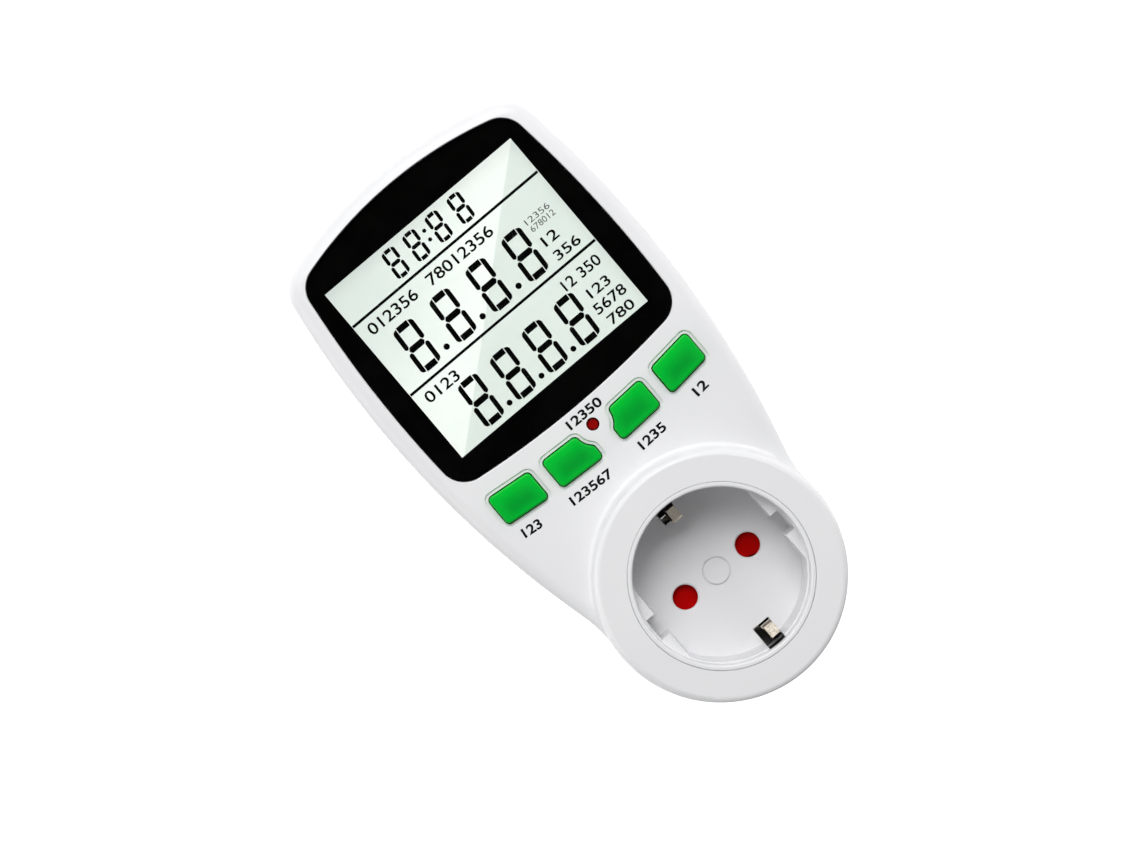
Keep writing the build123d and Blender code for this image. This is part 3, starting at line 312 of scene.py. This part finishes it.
def key_material(name, shape):
    """Green key with painted highlight: brighter towards its rim and most at its top, where the light
    falls.
    """
    across, up, width, height, slope = shape
    made, tree, shader, _ = new_material(name)
    highlight_masks = place_group(
        tree,
        KEY_PAINTED_HIGHLIGHT,
        Centre=(across * MM, 0.0, up * MM),
        Half_Width=width / 2 * MM,
        Half_Height=height / 2 * MM,
        Slope=math.tan(math.radians(slope)),
    )
    # Painted highlight: lighter green towards the rim, and lighter still at the top
    body = blend_colours(tree, highlight_masks["Rim"], KEY_MIDDLE, KEY_RIM_PAINTED_HIGHLIGHT)
    lit = blend_colours(tree, highlight_masks["Light"], body, KEY_TOP_PAINTED_HIGHLIGHT)
    drift = place_group(tree, TONE_DRIFT, Colour=lit, Shade=KEY_PATCH, Size=6.0, Fleck=0.3)
    tree.links.new(blend_colours(tree, KEY_PATCH_SHARE, lit, drift["Colour"]), shader.inputs["Base Color"])
    texture = place_group(tree, MOULDED_GRAIN, Grain=0.5, Waviness=4.0)
    set_gloss(tree, shader, texture["Sheen"], KEY_GLOSS)
    set_relief(tree, shader, texture["Height"], strength=0.4, depth=0.01)
    set_values(shader, Specular_IOR_Level=0.12)
    return made


def mirror_share(tree, ior):
    """How much a pane's front face mirrors to the eye; its back and the light through it are clear."""
    edge = node(tree, "Fresnel", IOR=ior).outputs[0]
    front = maths(tree, "SUBTRACT", 1.0, node(tree, "NewGeometry").outputs["Backfacing"])
    lit = maths(tree, "SUBTRACT", 1.0, node(tree, "LightPath").outputs["Is Shadow Ray"])
    return maths(tree, "MULTIPLY", edge, maths(tree, "MULTIPLY", front, lit))


def clear_sheet(name, tint, gloss, smear):
    """A thin clear pane: what is behind shows through, and its face only mirrors."""
    coated_ior = 1.12
    made, tree, shader, output = new_material(name)
    texture = place_group(tree, MOULDED_GRAIN, Grain=smear, Waviness=20.0)
    shade = [0.97 * share for share in tint]
    drift = place_group(tree, TONE_DRIFT, Colour=opaque(tint), Shade=opaque(shade), Size=15.0)
    tree.links.new(drift["Colour"], shader.inputs["Base Color"])
    set_gloss(tree, shader, texture["Sheen"], gloss)
    set_relief(tree, shader, texture["Height"], strength=0.15, depth=0.002)
    set_values(shader, Metallic=1.0)
    through = node(tree, "BsdfTransparent", Color=opaque(tint))
    mirror = mirror_share(tree, coated_ior)
    pane = node(tree, "MixShader", i0=mirror, i1=through.outputs[0], i2=shader.outputs[0])
    tree.links.new(pane.outputs[0], output.inputs["Surface"])
    return made


def clear_acrylic(name):
    """Polished clear plastic: it bends and mirrors what the eye sees, and lets light straight through."""
    made, tree, shader, output = new_material(name)
    texture = place_group(tree, MOULDED_GRAIN, Grain=5.0, Waviness=30.0)
    drift = place_group(
        tree, TONE_DRIFT, Colour=(1.0, 1.0, 1.0, 1.0), Shade=(0.985, 0.99, 0.985, 1.0), Size=12.0
    )
    tree.links.new(drift["Colour"], shader.inputs["Base Color"])
    set_gloss(tree, shader, texture["Sheen"], (0.0, 0.015))
    set_relief(tree, shader, texture["Height"], strength=0.05, depth=0.004)
    set_values(shader, IOR=1.49, Transmission_Weight=1.0)
    through = node(tree, "BsdfTransparent", Color=(0.98, 0.98, 0.98, 1.0))
    shadow = node(tree, "LightPath").outputs["Is Shadow Ray"]
    whole = node(tree, "MixShader", i0=shadow, i1=shader.outputs[0], i2=through.outputs[0])
    tree.links.new(whole.outputs[0], output.inputs["Surface"])
    return made


# Painted glare on the reflector, a fan of painted reflection: its corner across and up, and its lower
# edge's rise to the right in degrees
FAN_CORNER = (-26.6, 58.9)
FAN_EDGE = 41.4
# How far that edge is soft, above and below it, and the least height that the left edge is worked out from
FAN_SOFTNESS = (-0.15, 0.25)
FAN_FOOT = 1.0
# Its soft left edge, in millimetres across for each one up, and the heights where that edge comes in
FAN_LEFT = (0.2, 0.9)
FAN_LEFT_HEIGHTS = (68.0, 100.0)
# Its tones, and how much of them is the film's own colour under the lamps; beside that, the film glows with
# them in full as painted light
FAN_PAINTED_GLARE = (0.89, 0.93, 0.895, 1.0)
FAN_SHADE = (0.715, 0.775, 0.735, 1.0)
FILM_SPECK = (0.6, 0.68, 0.62, 1.0)
FILM_OWN_SHARE = 0.12
# Grain of the film: its scale, the noise values it lies between, its share of the tone, and its roughness
FILM_GRAIN_SCALE = 1400.0
FILM_GRAIN = (0.3, 0.7)
FILM_SPECK_SHARE = 0.05
FILM_GLOSS = (0.55, 0.7)


def beside_painted_glare(tree):
    """0 on the painted glare fan and 1 beside it."""
    sides = sides_of(tree, here(tree))
    right = maths(tree, "SUBTRACT", sides["X"], FAN_CORNER[0] * MM)
    up = maths(tree, "SUBTRACT", sides["Z"], FAN_CORNER[1] * MM)
    edge = math.radians(FAN_EDGE)
    off_edge = maths(tree, "MULTIPLY", up, math.cos(edge))
    below = maths(tree, "SUBTRACT", maths(tree, "MULTIPLY", right, math.sin(edge)), off_edge)
    low = spread(tree, below, *[width * MM for width in FAN_SOFTNESS], smooth=True)
    lean = maths(tree, "DIVIDE", right, maths(tree, "MAXIMUM", up, FAN_FOOT * MM))
    left = spread(tree, lean, *FAN_LEFT, 1.0, 0.0)
    fade = spread(tree, sides["Z"], *[height * MM for height in FAN_LEFT_HEIGHTS], smooth=True)
    return maths(tree, "MAXIMUM", maths(tree, "MULTIPLY", left, fade), low)


def reflector_film(name):
    """The cell's pale reflector, glowing with its tones as painted light, with a fan of painted glare that
    spreads from its lower left corner.
    """
    made, tree, shader, _ = new_material(name)
    # Painted reflection: the glare fan's light tone, and the film's own tone beside it
    tone = blend_colours(tree, beside_painted_glare(tree), FAN_PAINTED_GLARE, FAN_SHADE)
    grain = noise(tree, here(tree), FILM_GRAIN_SCALE, roughness=0.6)
    specks = spread(tree, grain, *FILM_GRAIN, 0.0, FILM_SPECK_SHARE)
    speckled = blend_colours(tree, specks, tone, FILM_SPECK)
    body = node(tree, "VectorMath", {"operation": "SCALE"}, i0=speckled, Scale=FILM_OWN_SHARE).outputs[0]
    tree.links.new(body, shader.inputs["Base Color"])
    # Painted light: the film glows with its tones, though it is no lamp
    tree.links.new(speckled, shader.inputs["Emission Color"])
    tree.links.new(spread(tree, grain, *FILM_GRAIN, *FILM_GLOSS), shader.inputs["Roughness"])
    set_relief(tree, shader, grain, strength=0.3, depth=0.004)
    set_values(shader, Emission_Strength=1.0, Specular_IOR_Level=0.1)
    return made


# Lines of the metals: along Y, along Z, or along X, where they are less stretched
ALONG_Y = Vector((1.0, 0.08, 1.0))
ALONG_Z = Vector((1.0, 1.0, 0.08))
CROSSWISE = Vector((0.15, 1.0, 1.0))

# Bore of the collar, painted black as shade where it shows through the earth slots: radius, half width,
# middle's depth, half span, colour
BORE_PAINTED_SHADE = (20.7, 0.71, 41.0, 7.0, (0.012, 0.012, 0.012))

# Painted shade in the groove between the pin holes, a darker grey, the same
GROOVE_PAINTED_SHADE = (3.2, 0.25, 33.3, 0.6, (0.74, 0.74, 0.75))

# Deep black and its shade
JET = ((0.001, 0.001, 0.001), (0.003, 0.003, 0.003))

# Materials of the pieces that were made in CAD: colour, shade, and roughness at its lowest and highest
FINISHES = {
    ("front_cover", "rear_cover"): plastic(
        "white_case",
        (0.80, 0.80, 0.81),
        (0.77, 0.77, 0.785),
        (0.34, 0.44),
        grain=0.35,
        depth=0.022,
        waviness=25.0,
        size=40.0,
        ring=BORE_PAINTED_SHADE,
    ),
    ("socket_well",): plastic(
        "white_insert",
        (0.79, 0.79, 0.80),
        (0.76, 0.76, 0.775),
        (0.36, 0.46),
        grain=0.4,
        depth=0.022,
        size=15.0,
        ring=GROOVE_PAINTED_SHADE,
    ),
    ("display_lens",): clear_acrylic("clear_acrylic"),
    ("lens_mask",): plastic("black_print", *JET, (0.3, 0.5), grain=0.2, Specular_IOR_Level=0.0),
    ("lcd_front_glass",): clear_sheet("cell_glass", (0.99, 1.0, 0.99), (0.05, 0.12), 4.0),
    ("lcd_segments",): plastic(
        "display_ink", *JET, (0.5, 0.65), grain=0.15, depth=0.003, size=3.0, Specular_IOR_Level=0.0
    ),
    ("lcd_rear_glass", "lcd_reflector"): reflector_film("reflector_film"),
    ("lcd_holder",): plastic("holder_grey", (0.62, 0.62, 0.61), (0.55, 0.55, 0.54), (0.5, 0.6)),
    ("zebra_strip",): plastic(
        "zebra_rubber", (0.05, 0.05, 0.06), (0.12, 0.12, 0.15), (0.6, 0.75), fleck=0.1
    ),
    ("keypad_mat",): plastic(
        "silicone_grey", (0.42, 0.42, 0.42), (0.36, 0.36, 0.37), (0.55, 0.7), grain=0.6
    ),
    ("button_reset",): plastic(
        "reset_red",
        (0.30, 0.0005, 0.0005),
        (0.25, 0.0, 0.0),
        (0.3, 0.4),
        grain=0.3,
        size=2.0,
        fleck=0.2,
        Specular_IOR_Level=0.08,
    ),
    ("shutter",): plastic(
        "shutter_red",
        (0.44, 0.0005, 0.0005),
        (0.40, 0.0, 0.0),
        (0.5, 0.62),
        grain=0.25,
        size=4.0,
        fleck=0.3,
        Specular_IOR_Level=0.03,
    ),
    ("main_board",): plastic("board_green", (0.01, 0.13, 0.05), (0.02, 0.18, 0.07), (0.25, 0.4), fleck=0.5),
    ("meter_chip", "rectifier"): plastic(
        "epoxy_black", (0.015, 0.015, 0.016), (0.03, 0.03, 0.03), (0.45, 0.6)
    ),
    ("electrolytic_capacitor",): plastic(
        "sleeve_black", (0.01, 0.01, 0.02), (0.02, 0.02, 0.03), (0.25, 0.35)
    ),
    ("film_capacitor",): plastic("film_yellow", (0.62, 0.38, 0.03), (0.52, 0.30, 0.02), (0.3, 0.4)),
    ("varistor",): plastic(
        "varistor_blue", (0.02, 0.07, 0.3), (0.015, 0.05, 0.22), (0.3, 0.45), depth=0.03
    ),
    ("power_resistor",): plastic("resistor_lacquer", (0.2, 0.33, 0.42), (0.15, 0.26, 0.35), (0.35, 0.5)),
    ("backup_cell",): plastic("cell_sleeve", (0.02, 0.24, 0.08), (0.015, 0.18, 0.06), (0.25, 0.35)),
    ("contact_carrier", "pin_retainer"): plastic(
        "carrier_black", (0.02, 0.02, 0.02), (0.035, 0.035, 0.035), (0.45, 0.6)
    ),
    ("line_lead",): plastic("lead_brown", (0.12, 0.04, 0.015), (0.09, 0.03, 0.01), (0.35, 0.5), grain=0.6),
    ("neutral_lead",): plastic("lead_blue", (0.01, 0.04, 0.3), (0.01, 0.03, 0.22), (0.35, 0.5), grain=0.6),
    ("line_pin", "neutral_pin"): metal(
        "nickel_pin", (0.66, 0.64, 0.60), (0.58, 0.56, 0.52), (0.16, 0.3), ALONG_Y
    ),
    ("earth_strap",): metal(
        "nickel_spring", (0.58, 0.53, 0.45), (0.44, 0.39, 0.32), (0.18, 0.28), ALONG_Y, depth=0.0015
    ),
    ("line_contact", "neutral_contact"): metal(
        "spring_brass", (0.66, 0.46, 0.17), (0.55, 0.36, 0.12), (0.22, 0.36), ALONG_Y
    ),
    ("current_shunt",): metal("shunt_alloy", (0.50, 0.36, 0.26), (0.42, 0.29, 0.2), (0.3, 0.45), ALONG_Z),
    ("shutter_spring",): metal(
        "spring_wire", (0.52, 0.52, 0.53), (0.42, 0.42, 0.43), (0.25, 0.4), CROSSWISE
    ),
    ("crystal",): metal("drawn_can", (0.58, 0.58, 0.58), (0.5, 0.5, 0.5), (0.3, 0.42), ALONG_Y),
    ("case_screws", "well_screws", "board_screws", "retainer_screws", "carrier_screw"): metal(
        "zinc_screw", (0.55, 0.55, 0.54), (0.45, 0.45, 0.43), (0.28, 0.42), CROSSWISE
    ),
}


def dress(name, material):
    """Give a CAD piece its material in every slot."""
    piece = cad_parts[name]
    if not piece.material_slots:
        piece.data.materials.append(material)
    for place in piece.material_slots:
        place.material = material


for names, material in FINISHES.items():
    for name in names:
        dress(name, material)
for name, shape in KEY_SHAPES.items():
    dress(name, key_material("green_" + name, shape))

# Inks of the printed pieces
LENS_PRINT = plastic(
    "lens_print",
    (0.001, 0.001, 0.001),
    (0.002, 0.002, 0.002),
    (0.25, 0.4),
    grain=0.2,
    size=8.0,
    Specular_IOR_Level=0.0,
)
CASE_INK = plastic(
    "print_ink",
    (0.004, 0.005, 0.005),
    (0.008, 0.009, 0.009),
    (0.45, 0.6),
    grain=0.2,
    depth=0.004,
    size=3.0,
    Specular_IOR_Level=0.05,
)
CELL_INK = plastic(
    "cell_ink",
    (0.002, 0.002, 0.002),
    (0.004, 0.004, 0.004),
    (0.5, 0.65),
    grain=0.15,
    depth=0.002,
    size=3.0,
    Specular_IOR_Level=0.0,
)
FINE_INK = plastic(
    "fine_cell_ink",
    (0.03, 0.032, 0.03),
    (0.05, 0.052, 0.05),
    (0.5, 0.65),
    grain=0.15,
    depth=0.002,
    size=3.0,
)


def new_piece(name, mesh, ink):
    """A piece fixed to the case, with its ink in its material slot."""
    piece = bpy.data.objects.new(name, mesh)
    bpy.context.scene.collection.objects.link(piece)
    mesh.materials.append(ink)
    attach(piece, "case")
    return piece


def add_thickness(piece, thick):
    """Thickness in millimetres, half on each side of the flat mesh."""
    shell = piece.modifiers.new("thickness", "SOLIDIFY")
    shell.thickness = thick * MM
    shell.offset = 0.0


# Print on the lens, in millimetres: its thickness, and how far its middle is in front of the lens's back
LENS_PRINT_THICK = 0.03
LENS_PRINT_LIFT = 0.03

# Its outline as a share of the lens's, and how near to the lens's back the points of that outline are
LENS_PRINT_SHARE = 0.9985
RIM_TOLERANCE = 0.01


def make_lens_print():
    """Black print in the back of the lens, from the display's window out to the lens's edge."""
    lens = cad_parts["display_lens"].data
    back = max(v.co.y for v in lens.vertices)
    rim = [v.co for v in lens.vertices if v.co.y > back - RIM_TOLERANCE * MM]
    middle = (max(c.z for c in rim) + min(c.z for c in rim)) / 2
    places = {}
    for c in rim:
        turn = round(math.atan2(c.z - middle, c.x), 4)
        places[turn] = (c.x * LENS_PRINT_SHARE, (c.z - middle) * LENS_PRINT_SHARE + middle)
    outer = [places[turn] for turn in sorted(places)]
    low, high, side = WINDOW_BOTTOM * MM, WINDOW_TOP * MM, WINDOW_HALF_WIDTH * MM
    inner = [(-side, low), (side, low), (side, high), (-side, high)]
    made = bmesh.new()
    for loop in (outer, inner):
        corners = [made.verts.new((x, back - LENS_PRINT_LIFT * MM, z)) for x, z in loop]
        for first, second in zip(corners, corners[1:] + corners[:1]):
            made.edges.new((first, second))
    bmesh.ops.triangle_fill(made, use_beauty=True, edges=made.edges[:])
    mesh = bpy.data.meshes.new("lens_border_print")
    made.to_mesh(mesh)
    made.free()
    add_thickness(new_piece("lens_border_print", mesh, LENS_PRINT), LENS_PRINT_THICK)


make_lens_print()

# Steps along each curve of a numeral
CURVE_STEPS = 6


def numerals(name, text, middle, foot, cap, width, height, thick, bold, ink, tilt=0.0):
    """Numerals of a cap height and width, centred over a point of the face, as a thin raised print."""
    curve = bpy.data.curves.new(name, "FONT")
    curve.body = text
    curve.size = 1.0
    curve.offset = bold
    curve.resolution_u = CURVE_STEPS
    flat = bpy.data.objects.new(name + "_flat", curve)
    bpy.context.scene.collection.objects.link(flat)
    bpy.context.view_layer.update()
    mesh = bpy.data.meshes.new_from_object(flat.evaluated_get(bpy.context.evaluated_depsgraph_get()))
    bpy.data.objects.remove(flat)
    xs = [v.co.x for v in mesh.vertices]
    ys = [v.co.y for v in mesh.vertices]
    centre, base = (max(xs) + min(xs)) / 2, min(ys)
    wide = width * MM / (max(xs) - min(xs))
    tall = cap * MM / (max(ys) - base)
    for v in mesh.vertices:
        v.co = ((v.co.x - centre) * wide, 0.0, (v.co.y - base) * tall)
    mesh.transform(Matrix.Rotation(math.radians(-tilt), 4, "Y"))
    mesh.transform(Matrix.Translation((middle * MM, -height * MM, foot * MM)))
    add_thickness(new_piece(name, mesh, ink), thick)


# Numerals on the case: cap height, height of the print's middle, thickness and boldness
MARK_CAP = 2.35
MARK_HEIGHT = FACE + 0.01
MARK_THICK = 0.03
MARK_BOLD = 0.025

# Numerals in the display, the same
SIGN_HEIGHT = FIGURES_FRONT + 0.06
SIGN_THICK = 0.04
SIGN_BOLD = 0.012

# Two small rows in the display: cap height, middle across, width and boldness
SMALL_CAP = 1.5
SMALL_MIDDLE = 21.4
SMALL_WIDTH = 6.85
SMALL_BOLD = 0.0

# On the case: name, numerals, middle across, foot, width, tilt in degrees
for name, text, middle, foot, width, tilt in [
    ("mark_reset", "12350", 0.05, 46.85, 9.6, 0.0),
    ("mark_key_1", "123", -26.1, 34.5, 4.9, -6.3),
    ("mark_key_2", "123567", -9.6, 32.95, 11.5, -2.7),
    ("mark_key_3", "1235", 8.65, 32.9, 7.4, 2.0),
    ("mark_key_4", "12", 24.2, 34.2, 3.6, 5.0),
]:
    numerals(name, text, middle, foot, MARK_CAP, width, MARK_HEIGHT, MARK_THICK, MARK_BOLD, CASE_INK, tilt)

# In the display: name, numerals, left edge, right edge, foot, cap height
for name, text, left, right, foot, cap in [
    ("sign_upper_left", "012356", -25.5, -11.5, 92.85, 2.85),
    ("sign_upper_middle", "78012356", -7.85, 11.1, 92.85, 2.85),
    ("sign_middle_1", "12", 18.15, 22.25, 82.75, 2.55),
    ("sign_middle_2", "356", 18.2, 25.25, 78.45, 2.5),
    ("sign_lower_left", "0123", -25.6, -16.2, 72.45, 2.75),
    ("sign_lower_1", "12 350", 15.1, 25.8, 71.9, 2.7),
    ("sign_lower_2", "123", 18.45, 24.45, 66.9, 2.5),
    ("sign_lower_3", "5678", 17.2, 25.95, 62.98, 2.65),
    ("sign_lower_4", "780", 18.1, 25.25, 59.2, 2.45),
]:
    middle, width = (left + right) / 2, right - left
    numerals(name, text, middle, foot, cap, width, SIGN_HEIGHT, SIGN_THICK, SIGN_BOLD, CELL_INK)
for name, text, foot in [("sign_small_1", "12356", 89.3), ("sign_small_2", "678012", 87.3)]:
    numerals(
        name,
        text,
        SMALL_MIDDLE,
        foot,
        SMALL_CAP,
        SMALL_WIDTH,
        SIGN_HEIGHT,
        SIGN_THICK,
        SMALL_BOLD,
        FINE_INK,
    )

# Backdrop, in metres: half its size, and its distance behind the meter
BACKDROP_HALF = 3.0
BACKDROP_BEHIND = 0.32

# Its white, and its glow as it lights the meter and as the camera sees it
BACKDROP_WHITE = (0.96, 0.96, 0.96, 1.0)
BACKDROP_GLOW = (0.2, 0.85)


def make_backdrop():
    """A pale sheet behind the meter, clear from its back."""
    half, behind = BACKDROP_HALF, BACKDROP_BEHIND
    mesh = bpy.data.meshes.new("backdrop")
    corners = [(-half, behind, -half), (half, behind, -half), (half, behind, half), (-half, behind, half)]
    mesh.from_pydata(corners, [], [(0, 1, 2, 3)])
    sheet = bpy.data.objects.new("backdrop", mesh)
    bpy.context.scene.collection.objects.link(sheet)
    made, tree, shader, output = new_material("pale_backdrop")
    set_values(shader, Roughness=0.9, Base_Color=BACKDROP_WHITE, Emission_Color=(1.0, 1.0, 1.0, 1.0))
    seen = node(tree, "LightPath").outputs["Is Camera Ray"]
    tree.links.new(spread(tree, seen, 0.0, 1.0, *BACKDROP_GLOW), shader.inputs["Emission Strength"])
    back = node(tree, "NewGeometry").outputs["Backfacing"]
    clear = node(tree, "BsdfTransparent")
    both = node(tree, "MixShader", i0=back, i1=shader.outputs[0], i2=clear.outputs[0])
    tree.links.new(both.outputs[0], output.inputs["Surface"])
    mesh.materials.append(made)


make_backdrop()

# Soft lights, aimed at the meter's middle: name, place and size in metres, power in watts
MIDDLE = Vector((0.0, -0.03, 0.045))
SOFTBOXES = [
    ("key_softbox", (0.2, -1.0, 0.7), 0.72, 11.8),
    ("left_fill", (-1.05, -0.45, 0.1), 0.8, 3.9),
    ("right_fill", (1.05, -0.4, 0.15), 0.8, 3.3),
    ("rear_softbox", (-0.6, 0.28, 0.5), 0.35, 1.2),
    ("rear_fill", (0.6, 0.28, -0.1), 0.35, 0.7),
]


def make_softbox(name, place, size, power):
    light = bpy.data.lights.new(name, "AREA")
    light.shape = "SQUARE"
    light.size = size
    light.energy = power
    lamp = bpy.data.objects.new(name, light)
    bpy.context.scene.collection.objects.link(lamp)
    lamp.location = place
    lamp.rotation_euler = (MIDDLE - Vector(place)).to_track_quat("-Z", "Y").to_euler()
    lamp.visible_camera = False


for name, place, size, power in SOFTBOXES:
    make_softbox(name, place, size, power)

# Light of the room, from -1 behind the camera to 1 behind the meter: begins at, is full at, strength
ROOM_NEAR_END = (-0.97, -0.75, 0.24)
ROOM_FAR_END = (-0.6, 0.1, 0.35)

# The room as the camera sees it past the backdrop
ROOM_GREY = (0.93, 0.93, 0.93, 1.0)


def make_room():
    """A pale room, lit most from its far end and not at all from straight behind the camera."""
    world = bpy.data.worlds.new("room")
    bpy.context.scene.world = world
    world.use_nodes = True
    tree = world.node_tree
    tree.nodes.clear()
    depth = sides_of(tree, node(tree, "TexCoord").outputs["Generated"])["Y"]
    steps = [
        spread(tree, depth, start, end, 0.0, strength, smooth=True)
        for start, end, strength in (ROOM_NEAR_END, ROOM_FAR_END)
    ]
    light = node(tree, "Background", Color=(1.0, 1.0, 1.0, 1.0), Strength=maths(tree, "ADD", *steps))
    seen = node(tree, "Background", Color=ROOM_GREY, Strength=1.0)
    ray = node(tree, "LightPath").outputs["Is Camera Ray"]
    either = node(tree, "MixShader", i0=ray, i1=light.outputs[0], i2=seen.outputs[0])
    node(tree, "OutputWorld", Surface=either.outputs[0])


make_room()

# Camera: straight on to the face, rolled so that the head points up and to the left
CAMERA_PLACE = (-0.0045, -0.555, 0.0476)
CAMERA_ROLL = 40.2
FOCAL_LENGTH = 70.7
SENSOR_WIDTH = 36.0
NEAREST_SEEN = 0.01


def make_camera():
    lens = bpy.data.cameras.new("camera")
    lens.lens = FOCAL_LENGTH
    lens.sensor_width = SENSOR_WIDTH
    lens.clip_start = NEAREST_SEEN
    camera = bpy.data.objects.new("camera", lens)
    bpy.context.scene.collection.objects.link(camera)
    camera.location = CAMERA_PLACE
    camera.rotation_euler = Euler((math.radians(90.0), 0.0, 0.0))
    camera.rotation_euler.rotate(Euler((0.0, math.radians(CAMERA_ROLL), 0.0)))
    bpy.context.scene.camera = camera


make_camera()
bpy.context.scene.view_settings.view_transform = "Standard"
